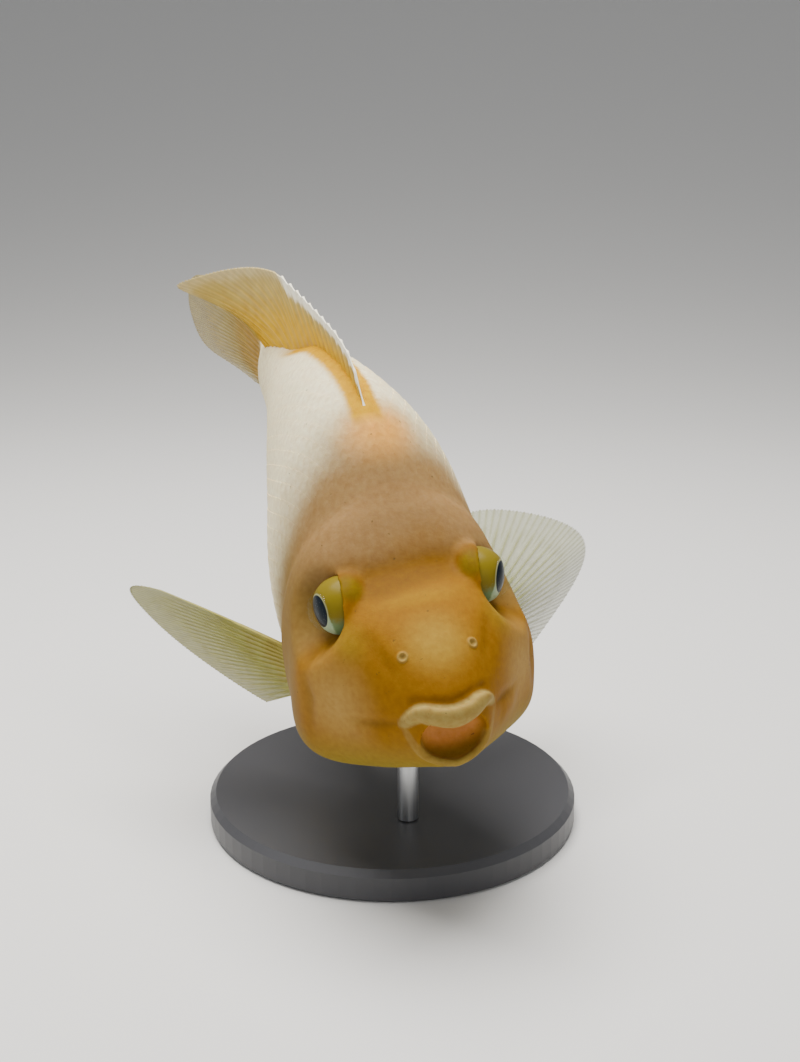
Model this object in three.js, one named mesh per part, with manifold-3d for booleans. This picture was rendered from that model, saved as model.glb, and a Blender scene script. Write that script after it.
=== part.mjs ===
// A blood parrot cichlid as a life-size display model on a small stand, in millimetres, +Z up.
// The origin is the middle of the stand's underside. The fish faces -Y and its right side is -X.
import * as THREE from "three";
import { mergeVertices } from "three/addons/utils/BufferGeometryUtils.js";
import Module from "manifold-3d";

const wasm = await Module();
wasm.setup();

// Driving sizes of the fish. Station means the distance behind the snout along the body,
// and level means the height over the corner of the mouth.
const bodyLength = 150; // snout to the root of the tail fin
const gap = 0.3; // between touching pieces
const tailLevel = 24.5; // middle of the tail's stalk
const degrees = Math.PI / 180;

// The stance
const noseDown = 14 * degrees;
const lean = 6.7 * degrees; // the back leans to the fish's right
const headedLeft = 15.2 * degrees; // the head points this far to the left of the stand's front
const snoutPlace = new THREE.Vector3(13.8, -66, 52.2); // station 0, level 0
const spineTurns = [[44, 0], [142, 8 * degrees], [150, 12 * degrees], [200, 46 * degrees]];
const spineTwist = 3 * degrees; // further lean of the tail
const axisLevel = 20; // level the spine turns at

// Outlines of the body as [station, value] pairs
const backLine = [
  [0, 3], [3, 7.5], [8, 11.8], [16, 15.8], [24, 18.5], [29.5, 20.1], [33, 21.3], [36, 25], [41, 30.6],
  [48, 37.3], [57, 44.5], [68, 49.5], [80, 50.5], [90, 49.6], [100, 47.6], [112, 42.5], [124, 37.5],
  [136, 35], [150, 35.5],
];
const bellyLine = [
  [0, -11], [3, -12.5], [8, -16], [16, -21.4], [28, -27], [42, -31.6], [58, -33.8], [72, -31.8],
  [86, -26], [100, -16.5], [113, -5.5], [126, 5.5], [138, 12.2], [150, 14],
];
const sideLine = [
  [0, 7.5], [3, 9.2], [8, 13.2], [16, 19.8], [24, 26.6], [32, 29], [42, 27.4], [54, 26.2], [68, 25.6],
  [84, 21.3], [98, 17.3], [112, 12.8], [126, 8.6], [138, 6.4], [150, 4.8],
];
const widestLine = [[0, -3], [12, -7.5], [26, -13], [42, -9], [60, 0], [90, 13.5], [120, 21], [150, 25]];
const roundnessAbove = [
  [0, 2], [12, 2.7], [20, 3], [27, 2.7], [32, 2.4], [37, 2.3], [48, 1.9], [70, 1.8], [90, 1.75],
  [150, 2],
];
const roundnessBelow = [[0, 2.2], [12, 2.7], [30, 2.8], [60, 2.4], [90, 2.1], [150, 2]];

// Fins. Each ray is [station and level of its root, station and level of its tip].
const dorsalRays = [
  [60, 44, 62, 47], [63.5, 45, 68, 53.5], [67, 46, 73, 56.5], [71, 47, 78, 57.5], [75, 48, 83, 58],
  [79, 48, 88, 58], [83, 48, 93, 58], [87, 47, 98, 58], [91, 46, 103, 58], [95, 46, 108, 58],
  [99, 45, 113, 58], [103, 43, 118.5, 58], [107, 41, 125, 58], [111, 39, 132, 57.5],
  [115, 37, 140, 56.5], [119, 35.5, 148.5, 54.5], [123, 34, 156.5, 52], [127, 33, 162, 49.5],
  [130.5, 32, 158, 46], [134, 32, 149, 41.5], [137, 32, 144, 37.5],
];
const analRays = [
  [92, -18, 95, -25], [95, -16, 99.5, -29.5], [98, -14, 105, -31], [101, -11, 111, -31],
  [104, -8, 117.5, -30.5], [107, -5, 125, -29.5], [110, -2, 133, -27], [113, 0, 141, -22.5],
  [116, 3, 147, -16.5], [119, 6, 149, -9.5], [122, 8, 143, -2.5], [125, 10, 136, 3.5], [127.5, 12, 133, 7],
];
const tailRays = [
  [147, 34, 160, 39], [147, 32.5, 172, 42], [147, 31, 180, 43], [147, 29.6, 184, 41.5],
  [147, 28.2, 186, 39], [147, 26.8, 187, 36], [147, 25.4, 187.5, 33], [147, 24, 187.5, 29.8],
  [147, 22.7, 187, 26.5], [147, 21.4, 186, 23.2], [147, 20.1, 184, 20.2], [147, 18.8, 180, 17.8],
  [147, 17.3, 172, 16], [147, 15, 160, 14],
];
const curlStrength = 0.013; // how the trailing tips of the back fin curl to the fish's right, per mm
const curlStart = 124;

// Breast and belly fins: a root line and the ways from it to the tips of the first, middle and
// last rays, all as (across, station, level) for a fin on the left side
const breastFin = {
  rootTop: [21.5, 55, -13], rootBottom: [19.5, 55, -24], rays: 12,
  rightWays: [[41, 56, 6], [29, 39, -5], [12, 17, -13]],
  leftWays: [[12, 48, 7], [49, 35, -3], [27, 12, -11]],
};
const bellyFin = {
  rootTop: [6, 50, -28], rootBottom: [8, 57, -28], rays: 7,
  ways: [[9, 29, -24], [8, 29, -16], [4, 22, -9]],
};

// Eyes. The rim is the mound of skin round the eye, as [radius, height ahead of the eye's middle].
const eyeRadius = 6.2;
const eyeBack = 4.4; // the ball is flattened behind
const corneaBulge = 0.9;
const eyeStation = 32.5;
const eyeLevel = 14.3;
const eyeAcross = 15.6;
const eyeForward = { right: 13 * degrees, left: 22 * degrees };
const rimHeight = 4.4;
const rimOutline = [
  [0, -4], [4, -3.7], [6.4, -2.5], [7.6, -0.6], [8, 1.4], [7.8, 2.9], [7.1, 3.9], [6.2, rimHeight],
  [5.2, rimHeight - 0.3], [0, rimHeight - 0.3],
];
const openingRadii = { inner: 5.2, outer: 8.8 };
const openingDepth = 0.6; // how far the opening's cone starts under the top of the rim
const openingHeight = 6;

// The mouth is open. Its lips are [across, station, level] with their half thickness.
const upperLip = {
  points: [[-9.4, 5.2, 3.6], [-7, 2.4, 3.9], [-3.6, 0, 3.4], [0, -0.7, 3.1], [3.6, 0, 3.4], [7, 2.4, 3.9],
    [9.4, 5.2, 3.6]],
  thick: [[0, 1.2], [0.12, 1.7], [0.5, 2.35], [0.88, 1.7], [1, 1.2]],
};
const lowerLip = {
  points: [[-9.2, 5.4, 2.4], [-8.6, 3.6, -1.6], [-5.8, 1.4, -6], [0, 0.3, -8.2], [5.8, 1.4, -6],
    [8.6, 3.6, -1.6], [9.2, 5.4, 2.4]],
  thick: [[0, 1.1], [0.5, 1.6], [1, 1.1]],
};
const mouthRoom = { middle: [0, 1.2, -2.4], radii: [6.8, 7.5, 4.8] };
const nostrilAcross = 8;
const nostrilStation = 11;
const nostrilOutline = [[0, -1], [1.6, -0.8], [1.5, 0.1], [1.15, 0.5], [0, 0.5]];
const nostrilPit = { outer: 0.62, inner: 0.5, depth: 3 };

// Fin thickness: half of it on the membrane, and on a ray at its root and its tip
const membraneHalf = 0.34;
const rayRootHalf = 0.72;
const rayTipHalf = 0.42;
const coverLip = 0.9; // the gill covers stand this far off the shoulder

// Stand
const baseRadius = 48;
const baseHeight = 8;
const baseBevel = 0.8;
const rodRadius = 2.6;
const rodSpare = 4; // length of the rods before they are cut to the belly
const rodStations = { front: 40, rear: 84 };

// A smooth curve through [station, value] pairs
function smoothLine(pairs) {
  const slope = pairs.map((pair, i) => {
    const before = pairs[Math.max(i - 1, 0)];
    const after = pairs[Math.min(i + 1, pairs.length - 1)];
    return (after[1] - before[1]) / (after[0] - before[0]);
  });
  return (x) => {
    if (x <= pairs[0][0]) return pairs[0][1];
    const i = pairs.findIndex((pair) => pair[0] >= x);
    if (i < 0) return pairs[pairs.length - 1][1];
    const [x0, y0] = pairs[i - 1];
    const [x1, y1] = pairs[i];
    const h = x1 - x0;
    const t = (x - x0) / h;
    const rise = t * t * (3 - 2 * t);
    return (
      y0 + (y1 - y0) * rise + h * slope[i - 1] * t * (1 - t) ** 2 - h * slope[i] * t * t * (1 - t)
    );
  };
}

const back = smoothLine(backLine);
const belly = smoothLine(bellyLine);
const side = smoothLine(sideLine);
const widest = smoothLine(widestLine);
const above = smoothLine(roundnessAbove);
const below = smoothLine(roundnessBelow);
const ease = (x, from, to) => THREE.MathUtils.smoothstep(x, from, to);

// The spine's frames, one for every millimetre
const spine = [{ at: new THREE.Vector3(0, 0, axisLevel), way: new THREE.Quaternion() }];
const spineLength = 200;
const headingAt = smoothLine(spineTurns);
for (let s = 0; s < spineLength; s++) {
  const last = spine[s];
  const twist = s < spineTurns[0][0] ? 0 : spineTwist / (spineLength - spineTurns[0][0]);
  const turn = new THREE.Euler(0, -twist, headingAt(s + 1) - headingAt(s));
  const way = last.way.clone().multiply(new THREE.Quaternion().setFromEuler(turn));
  const at = new THREE.Vector3(0, 1, 0).applyQuaternion(way).add(last.at);
  spine.push({ at, way });
}

// Takes a point of the straight fish (across, station, level) to its place in the bent one
function bend(across, station, level) {
  const whole = THREE.MathUtils.clamp(Math.floor(station), 0, spineLength - 1);
  const part = station - whole;
  const ahead = spine[whole];
  const behind = spine[whole + 1];
  const way = ahead.way.clone().slerp(behind.way, THREE.MathUtils.clamp(part, 0, 1));
  const at = ahead.at.clone().lerp(behind.at, part);
  return new THREE.Vector3(across, 0, level - axisLevel).applyQuaternion(way).add(at);
}

// A point of the body's skin: angle 0 is the left flank, a quarter turn is the back
function skin(station, angle, grow = 0) {
  const s = THREE.MathUtils.clamp(station, 0, bodyLength);
  const c = Math.cos(angle);
  const d = Math.sin(angle);
  const power = 2 / (d > 0 ? above(s) : below(s));
  const reach = d > 0 ? back(s) - widest(s) : widest(s) - belly(s);
  const snout = 3;
  const taper = s < snout ? 0.55 + 0.45 * Math.sqrt(1 - (1 - s / snout) ** 2) : 1;
  const across = Math.sign(c) * Math.abs(c) ** power * (side(s) * taper + grow);
  const level = widest(s) + Math.sign(d) * Math.abs(d) ** power * (reach * taper + grow);
  return bend(across, station, level);
}

// A closed body from rings of points, from front to back
function loft(rings, frontTip, backTip) {
  const around = rings[0].length;
  const points = [...rings.flat(), frontTip, backTip];
  const index = [];
  for (let i = 0; i + 1 < rings.length; i++) {
    for (let j = 0; j < around; j++) {
      const a = i * around + j;
      const b = i * around + ((j + 1) % around);
      index.push(a, a + around, b, b, a + around, b + around);
    }
  }
  const front = rings.length * around;
  const lastRing = front - around;
  for (let j = 0; j < around; j++) {
    const next = (j + 1) % around;
    index.push(front, j, next, front + 1, lastRing + next, lastRing + j);
  }
  return new THREE.BufferGeometry().setFromPoints(points).setIndex(index);
}

// A geometry as a solid that can be joined and cut
function toSolid(geometry) {
  const bare = geometry.clone();
  bare.deleteAttribute("normal");
  bare.deleteAttribute("uv");
  const merged = mergeVertices(bare, 1e-4);
  return new wasm.Manifold(
    new wasm.Mesh({
      numProp: 3,
      vertProperties: merged.attributes.position.array,
      triVerts: new Uint32Array(merged.index.array),
    }),
  );
}

// The largest closed body of a solid, as a geometry
function toGeometry(solid) {
  const largest = solid.decompose().sort((a, b) => b.volume() - a.volume())[0];
  const mesh = largest.getMesh();
  const geometry = new THREE.BufferGeometry();
  geometry.setAttribute("position", new THREE.BufferAttribute(mesh.vertProperties, 3));
  geometry.setIndex(new THREE.BufferAttribute(mesh.triVerts, 1));
  return geometry;
}

// The gill opening runs round the head: furthest back on the flanks, furthest forward at the throat
const gillFlank = 49;
const gillNape = 40;
const gillThroat = 27;
function gillStation(angle) {
  const c = Math.abs(Math.cos(angle)) ** 1.6;
  const middle = Math.sin(angle) > 0 ? gillNape : gillThroat;
  return middle + (gillFlank - middle) * c;
}

const tailCut = 120; // station where the tail's stalk starts
const sides = 36;
const turnOf = (j) => (2 * Math.PI * j) / sides;
const ringAt = (place) => Array.from({ length: sides }, (_, j) => place(turnOf(j)));

function headBody() {
  const steps = 15;
  const closer = 1.35; // rings lie closer together towards the snout
  const rings = [];
  for (let i = 0; i <= steps; i++) {
    const share = (i / steps) ** closer;
    const cover = coverLip * ease(share, 0.72, 0.97);
    rings.push(ringAt((a) => skin(gillStation(a) * share, a, cover * Math.abs(Math.cos(a)))));
  }
  return loft(rings, bend(0, -0.6, -3.5), bend(0, gillNape, 0));
}

function trunkBody() {
  const steps = 13;
  const rings = [];
  for (let i = 0; i <= steps; i++) {
    rings.push(
      ringAt((a) => {
        const start = gillStation(a) + gap;
        return skin(start + ((tailCut - gap - start) * i) / steps, a);
      }),
    );
  }
  return loft(rings, bend(0, gillNape + gap, 0), bend(0, tailCut - gap, tailLevel));
}

function stalkBody() {
  const steps = 5;
  const rings = [];
  for (let i = 0; i <= steps; i++) {
    rings.push(ringAt((a) => skin(tailCut + ((bodyLength - tailCut) * i) / steps, a)));
  }
  return loft(rings, bend(0, tailCut, tailLevel), bend(0, bodyLength, tailLevel));
}

// The whole body grown by the gap, which the fins are cut back with
function clearance() {
  const steps = 36;
  const rings = [];
  for (let i = 0; i <= steps; i++) {
    rings.push(ringAt((a) => skin((bodyLength * i) / steps, a, gap)));
  }
  return toSolid(loft(rings, bend(0, -1, -3.5), bend(0, bodyLength + gap, tailLevel)));
}

// A closed sheet over u (0 to 1 across the rays) and v (0 at the root to 1 at the tip)
function sheet(place, half, columns, rows) {
  const points = [];
  for (const face of [1, -1]) {
    for (let i = 0; i <= columns; i++) {
      for (let j = 0; j <= rows; j++) {
        const u = i / columns;
        const v = j / rows;
        const step = 0.004;
        const alongU = place(Math.min(u + step, 1), v).sub(place(Math.max(u - step, 0), v));
        const alongV = place(u, Math.min(v + step, 1)).sub(place(u, Math.max(v - step, 0)));
        const normal = alongU.cross(alongV).normalize();
        points.push(place(u, v).addScaledVector(normal, face * half(i, v)));
      }
    }
  }
  const index = [];
  const line = rows + 1;
  const other = (columns + 1) * line;
  const quad = (a, b, c, d) => index.push(a, b, c, a, c, d);
  for (let i = 0; i < columns; i++) {
    for (let j = 0; j < rows; j++) {
      const a = i * line + j;
      quad(a, a + line, a + line + 1, a + 1);
      index.push(other + a, other + a + line + 1, other + a + line);
      index.push(other + a, other + a + 1, other + a + line + 1);
    }
    quad(i * line, other + i * line, other + (i + 1) * line, (i + 1) * line);
    const end = i * line + rows;
    quad(end, end + line, other + end + line, other + end);
  }
  for (let j = 0; j < rows; j++) {
    quad(j, j + 1, other + j + 1, other + j);
    const last = columns * line + j;
    quad(last, other + last, other + last + 1, last + 1);
  }
  return new THREE.BufferGeometry().setFromPoints(points).setIndex(index);
}

// Half the thickness of a fin: even columns are rays, raised over the membrane between them
function rayHalf(column, v) {
  return column % 2 ? membraneHalf : THREE.MathUtils.lerp(rayRootHalf, rayTipHalf, v);
}

// A fin whose rays lie in the fish's middle plane
function middleFin(rays, rows, leaning = () => 0) {
  const line = (k) => smoothLine(rays.map((ray, i) => [i / (rays.length - 1), ray[k]]));
  const [rootStation, rootLevel, tipStation, tipLevel] = [0, 1, 2, 3].map(line);
  const place = (u, v) => {
    const station = THREE.MathUtils.lerp(rootStation(u), tipStation(u), v);
    const level = THREE.MathUtils.lerp(rootLevel(u), tipLevel(u), v);
    return bend(leaning(station), station, level);
  };
  return sheet(place, rayHalf, 2 * (rays.length - 1), rows);
}

// A fin in a fan of rays from a root line; the rays at its first and last edges are shorter
function fan(hand, { rootTop, rootBottom, rays }, ways, rows) {
  const wayAt = [0, 1, 2].map((k) => smoothLine(ways.map((way, i) => [i / 2, way[k]])));
  const place = (u, v) => {
    const rounded = v * (1 - 0.3 * (1 - u) ** 12 - 0.12 * u ** 8);
    const [across, station, level] = [0, 1, 2].map(
      (k) => THREE.MathUtils.lerp(rootTop[k], rootBottom[k], u) + wayAt[k](u) * rounded,
    );
    return bend(hand * across, station, level);
  };
  return sheet(place, rayHalf, 2 * (rays - 1), rows);
}

// Turns a closed geometry's faces outwards: inside out, its signed volume is negative
function outward(geometry) {
  const order = geometry.index.array;
  const corner = (i) => new THREE.Vector3().fromBufferAttribute(geometry.attributes.position, order[i]);
  let volume = 0;
  for (let i = 0; i < order.length; i += 3) {
    volume += corner(i).dot(corner(i + 1).cross(corner(i + 2))) / 6;
  }
  if (volume < 0) {
    for (let i = 0; i < order.length; i += 3) {
      [order[i + 1], order[i + 2]] = [order[i + 2], order[i + 1]];
    }
  }
  return geometry;
}

const bodyRoom = clearance();

// A fin cut back to the gap it keeps from the body
function trimmed(geometry) {
  return toGeometry(toSolid(outward(geometry)).subtract(bodyRoom));
}

// An eye looking out along its own axis, with the clear cornea standing proud of the ball
function eye(hand, forward, grow = 0) {
  const steps = 14;
  const outline = [];
  for (let i = 0; i <= steps; i++) {
    const a = (Math.PI * i) / steps;
    const depth = Math.cos(a) < 0 ? eyeBack : eyeRadius;
    const proud = grow + corneaBulge * ease(Math.cos(a), 0.6, 0.95);
    const radius = i % steps ? Math.sin(a) * (eyeRadius + grow) : 0;
    outline.push([radius, Math.cos(a) * (depth + proud)]);
  }
  return lookOut(turned(outline.reverse(), 22), hand, forward);
}

// Turns a piece made round +Y to an eye's axis and sets it at the eye's place
function lookOut(geometry, hand, forward) {
  geometry.rotateZ(-hand * (Math.PI / 2 + forward));
  return geometry.translate(hand * eyeAcross, eyeStation, eyeLevel);
}

// A piece turned on a lathe round +Y from an outline of [radius, height] pairs
function turned(outline, segments) {
  return new THREE.LatheGeometry(outline.map(([x, y]) => new THREE.Vector2(x, y)), segments);
}

// A lip: a round band along a path of points, with a thickness that varies from end to end
function lip({ points, thick }, steps, around) {
  const path = new THREE.CatmullRomCurve3(points.map((point) => new THREE.Vector3(...point)));
  const frames = path.computeFrenetFrames(steps);
  const radiusAt = smoothLine(thick);
  const rings = [];
  for (let i = 0; i <= steps; i++) {
    const middle = path.getPoint(i / steps);
    const ring = [];
    for (let j = 0; j < around; j++) {
      const a = (2 * Math.PI * j) / around;
      const spoke = frames.normals[i].clone().multiplyScalar(Math.cos(a));
      spoke.addScaledVector(frames.binormals[i], Math.sin(a));
      ring.push(middle.clone().addScaledVector(spoke, radiusAt(i / steps)));
    }
    rings.push(ring);
  }
  const start = path.getPoint(0).addScaledVector(frames.tangents[0], -radiusAt(0) * 0.7);
  const end = path.getPoint(1).addScaledVector(frames.tangents[steps], radiusAt(1) * 0.7);
  return toSolid(outward(loft(rings, start, end)));
}

// A piece made round +Y, set on the top of the head at a station and a distance across
function setOnTop(geometry, station, across) {
  const share = Math.abs(across / side(station)) ** (above(station) / 2);
  const angle = across > 0 ? Math.acos(share) : Math.PI - Math.acos(share);
  const place = skin(station, angle);
  const alongStation = skin(station + 0.5, angle).sub(place);
  const alongAngle = skin(station, angle + 0.03).sub(place);
  const normal = alongAngle.cross(alongStation).normalize();
  const turn = new THREE.Quaternion().setFromUnitVectors(new THREE.Vector3(0, 1, 0), normal);
  return geometry.applyQuaternion(turn).translate(place.x, place.y, place.z);
}

// The head with its open mouth, lips, nostrils and the rims and sockets of its eyes
function head() {
  let solid = toSolid(headBody());
  const room = new THREE.SphereGeometry(1, 18, 12);
  room.scale(...mouthRoom.radii);
  room.translate(...mouthRoom.middle);
  solid = solid.subtract(toSolid(room));
  solid = solid.add(lip(upperLip, 18, 10)).add(lip(lowerLip, 18, 8));
  for (const hand of [-1, 1]) {
    const ring = turned(nostrilOutline, 14);
    const pit = new THREE.CylinderGeometry(nostrilPit.outer, nostrilPit.inner, nostrilPit.depth, 12);
    solid = solid.add(toSolid(setOnTop(ring, nostrilStation, hand * nostrilAcross)));
    solid = solid.subtract(toSolid(setOnTop(pit, nostrilStation, hand * nostrilAcross)));
  }
  for (const [hand, forward] of [[-1, eyeForward.right], [1, eyeForward.left]]) {
    const rim = turned(rimOutline, 24);
    const opening = new THREE.CylinderGeometry(openingRadii.outer, openingRadii.inner, openingHeight, 24);
    opening.translate(0, rimHeight - openingDepth + openingHeight / 2, 0);
    solid = solid.add(toSolid(lookOut(rim, hand, forward)));
    solid = solid.subtract(toSolid(lookOut(opening, hand, forward)));
    solid = solid.subtract(toSolid(eye(hand, forward, gap)));
  }
  return toGeometry(solid);
}

const flesh = new THREE.MeshStandardMaterial({ color: 0xe8b184, roughness: 0.45 });
const finSkin = new THREE.MeshStandardMaterial({ color: 0xd9b64a, roughness: 0.5 });
const eyeGlass = new THREE.MeshStandardMaterial({ color: 0x20242c, roughness: 0.08 });
const standPaint = new THREE.MeshStandardMaterial({ color: 0x2b2c2e, roughness: 0.55 });
const rodSteel = new THREE.MeshStandardMaterial({ color: 0xb8babd, roughness: 0.3, metalness: 1 });

const group = new THREE.Group();
const turnToPose = new THREE.Matrix4().compose(
  snoutPlace,
  new THREE.Quaternion().setFromEuler(new THREE.Euler(noseDown, -lean, headedLeft, "ZYX")),
  new THREE.Vector3(1, 1, 1),
);

function add(name, geometry, material) {
  const mesh = new THREE.Mesh(geometry, material);
  mesh.name = name;
  group.add(mesh);
}

function addFish(name, geometry, material) {
  add(name, geometry.clone().applyMatrix4(turnToPose), material);
}

addFish("head", head(), flesh);
addFish("trunk", trunkBody(), flesh);
addFish("tail_stalk", stalkBody(), flesh);
addFish("eye_right", eye(-1, eyeForward.right), eyeGlass);
addFish("eye_left", eye(1, eyeForward.left), eyeGlass);
const curl = (station) => -curlStrength * Math.max(station - curlStart, 0) ** 2;
addFish("dorsal_fin", trimmed(middleFin(dorsalRays, 6, curl)), finSkin);
addFish("anal_fin", trimmed(middleFin(analRays, 5)), finSkin);
addFish("tail_fin", trimmed(middleFin(tailRays, 7)), finSkin);
addFish("pectoral_fin_right", trimmed(fan(-1, breastFin, breastFin.rightWays, 6)), finSkin);
addFish("pectoral_fin_left", trimmed(fan(1, breastFin, breastFin.leftWays, 6)), finSkin);
addFish("pelvic_fin_right", trimmed(fan(-1, bellyFin, bellyFin.ways, 5)), finSkin);
addFish("pelvic_fin_left", trimmed(fan(1, bellyFin, bellyFin.ways, 5)), finSkin);

// The stand: a round base with two rods up to the belly, cut to the belly's own shape
const baseOutline = [
  [0, 0], [baseRadius - baseBevel, 0], [baseRadius, baseBevel], [baseRadius, baseHeight - 2 * baseBevel],
  [baseRadius - 2 * baseBevel, baseHeight], [0, baseHeight],
];
add("stand_base", turned(baseOutline, 72).rotateX(Math.PI / 2), standPaint);

const bodyInPose = bodyRoom.transform(turnToPose.toArray());
for (const [name, station] of Object.entries(rodStations)) {
  const top = bend(0, station, belly(station)).applyMatrix4(turnToPose);
  const bottom = baseHeight + gap;
  const height = top.z + rodSpare - bottom;
  const rod = new THREE.CylinderGeometry(rodRadius, rodRadius, height, 24);
  rod.rotateX(Math.PI / 2);
  rod.translate(top.x, top.y, bottom + height / 2);
  add(`stand_rod_${name}`, toGeometry(toSolid(rod).subtract(bodyInPose)), rodSteel);
}

export default group;
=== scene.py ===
import math
import bpy
import numpy as np
from mathutils import Matrix, Vector
from mathutils.bvhtree import BVHTree


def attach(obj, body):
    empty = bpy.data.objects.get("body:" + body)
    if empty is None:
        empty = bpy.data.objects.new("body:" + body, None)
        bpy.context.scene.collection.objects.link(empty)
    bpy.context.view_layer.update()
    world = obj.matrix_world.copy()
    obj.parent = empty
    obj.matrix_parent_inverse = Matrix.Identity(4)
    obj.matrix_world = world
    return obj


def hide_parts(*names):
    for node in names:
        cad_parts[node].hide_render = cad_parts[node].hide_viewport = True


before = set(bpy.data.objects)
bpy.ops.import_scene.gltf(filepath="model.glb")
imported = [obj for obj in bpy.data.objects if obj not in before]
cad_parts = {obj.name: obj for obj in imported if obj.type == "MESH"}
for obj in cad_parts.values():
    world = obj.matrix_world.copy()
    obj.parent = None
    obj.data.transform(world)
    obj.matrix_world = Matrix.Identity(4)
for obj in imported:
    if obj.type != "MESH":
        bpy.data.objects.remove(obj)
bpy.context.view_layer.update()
mm = 0.001

# The straight fish is modelled in millimetres as (across, station, level): across is its left,
# station is the distance behind the snout and level the height over the corner of the mouth.
# poseFish bends it, turns it to its stance and takes it to metres.
stance = {
    "noseDown": math.radians(14),
    "lean": math.radians(6.7),
    "headedLeft": math.radians(15.2),
    "snoutPlace": (13.8, -66, 52.2),
    "spineTurns": [(44, 0), (142, 8), (150, 12), (200, 46)],  # degrees
    "spineTwist": math.radians(3),
    "axisLevel": 20,
    "spineLength": 200,
}


def smoothLine(pairs):
    xs, ys = np.array(pairs, float).T
    slope = np.gradient(ys)
    slope[1:-1] = (ys[2:] - ys[:-2]) / (xs[2:] - xs[:-2])
    slope[0] = (ys[1] - ys[0]) / (xs[1] - xs[0])
    slope[-1] = (ys[-1] - ys[-2]) / (xs[-1] - xs[-2])

    def valueAt(x):
        x = np.clip(x, xs[0], xs[-1])
        i = np.clip(np.searchsorted(xs, x), 1, len(xs) - 1)
        h = xs[i] - xs[i - 1]
        t = (x - xs[i - 1]) / h
        rise = t * t * (3 - 2 * t)
        start = h * slope[i - 1] * t * (1 - t) ** 2
        end = h * slope[i] * t * t * (1 - t)
        return ys[i - 1] + (ys[i] - ys[i - 1]) * rise + start - end

    return valueAt


def ease(x, low, high):
    t = np.clip((x - low) / (high - low), 0, 1)
    return t * t * (3 - 2 * t)


def spineFrames():
    heading = smoothLine(stance["spineTurns"])
    straightTo = stance["spineTurns"][0][0]
    twist = stance["spineTwist"] / (stance["spineLength"] - straightTo)
    way = Matrix.Identity(3)
    at = Vector((0, 0, stance["axisLevel"]))
    ways, places = [way], [at]
    for s in range(stance["spineLength"]):
        turn = math.radians(heading(s + 1) - heading(s))
        roll = Matrix.Rotation(-twist if s >= straightTo else 0, 3, "Y")
        way = way @ roll @ Matrix.Rotation(turn, 3, "Z")
        at = at + way @ Vector((0, 1, 0))
        ways.append(way)
        places.append(at)
    return np.array([list(map(list, way)) for way in ways]), np.array([list(place) for place in places])


spineWays, spinePlaces = spineFrames()
turnToStance = np.array(
    Matrix.Rotation(stance["headedLeft"], 3, "Z")
    @ Matrix.Rotation(-stance["lean"], 3, "Y")
    @ Matrix.Rotation(stance["noseDown"], 3, "X")
)


def posed(points):
    station = points[:, 1]
    i = np.clip(np.floor(station).astype(int), 0, stance["spineLength"] - 1)
    part = (station - i)[:, None]
    held = np.clip(part, 0, 1)[:, :, None]
    way = spineWays[i] * (1 - held) + spineWays[i + 1] * held
    at = spinePlaces[i] + (spinePlaces[i + 1] - spinePlaces[i]) * part
    offset = points - np.array([0, 0, stance["axisLevel"]])
    offset[:, 1] = 0
    bent = np.einsum("nij,nj->ni", way, offset) + at
    return (bent @ turnToStance.T + np.array(stance["snoutPlace"])) * mm


def readPoints(piece):
    points = np.empty(len(piece.data.vertices) * 3)
    piece.data.vertices.foreach_get("co", points)
    return points.reshape(-1, 3)


def writePoints(piece, points):
    piece.data.vertices.foreach_set("co", points.ravel())
    piece.data.update()


def readNormals(piece):
    normals = np.empty(len(piece.data.vertices) * 3)
    piece.data.vertices.foreach_get("normal", normals)
    return normals.reshape(-1, 3)


def keep(piece, name, values):
    kind = "FLOAT" if values.ndim == 1 else "FLOAT_VECTOR"
    attribute = piece.data.attributes.new(name, kind, "POINT")
    attribute.data.foreach_set("value" if kind == "FLOAT" else "vector", values.astype(np.float32).ravel())


def poseFish(piece):
    points = readPoints(piece)
    if "straight" not in piece.data.attributes:
        keep(piece, "straight", points)  # the markings follow this
    writePoints(piece, posed(points))


def only(piece):
    bpy.ops.object.select_all(action="DESELECT")
    piece.select_set(True)
    bpy.context.view_layer.objects.active = piece


def finishWith(piece, kind, **options):
    only(piece)
    modifier = piece.modifiers.new(kind.lower(), kind)
    for key, value in options.items():
        setattr(modifier, key, value)
    bpy.ops.object.modifier_apply(modifier=modifier.name)


def weld(piece, closeHoles=False):
    only(piece)
    bpy.ops.object.mode_set(mode="EDIT")
    bpy.ops.mesh.select_all(action="SELECT")
    bpy.ops.mesh.remove_doubles(threshold=1e-4)
    if closeHoles:
        bpy.ops.mesh.fill_holes(sides=0)
    bpy.ops.mesh.select_all(action="SELECT")
    bpy.ops.mesh.normals_make_consistent(inside=False)
    bpy.ops.object.mode_set(mode="OBJECT")


def newGrid(name, columns, rows, place):
    bpy.ops.object.select_all(action="DESELECT")
    bpy.ops.mesh.primitive_grid_add(x_subdivisions=columns, y_subdivisions=rows, size=1)
    piece = bpy.context.object
    piece.name = name
    flat = readPoints(piece) + 0.5
    writePoints(piece, place(flat[:, 0], flat[:, 1]))
    return piece


def joined(name, pieces):
    only(pieces[0])
    for piece in pieces:
        piece.select_set(True)
    bpy.ops.object.join()
    pieces[0].name = name
    return pieces[0]


def smoothShade(piece, angle=None):
    only(piece)
    if angle is None:
        bpy.ops.object.shade_smooth()
    else:
        bpy.ops.object.shade_smooth_by_angle(angle=math.radians(angle))


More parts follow.
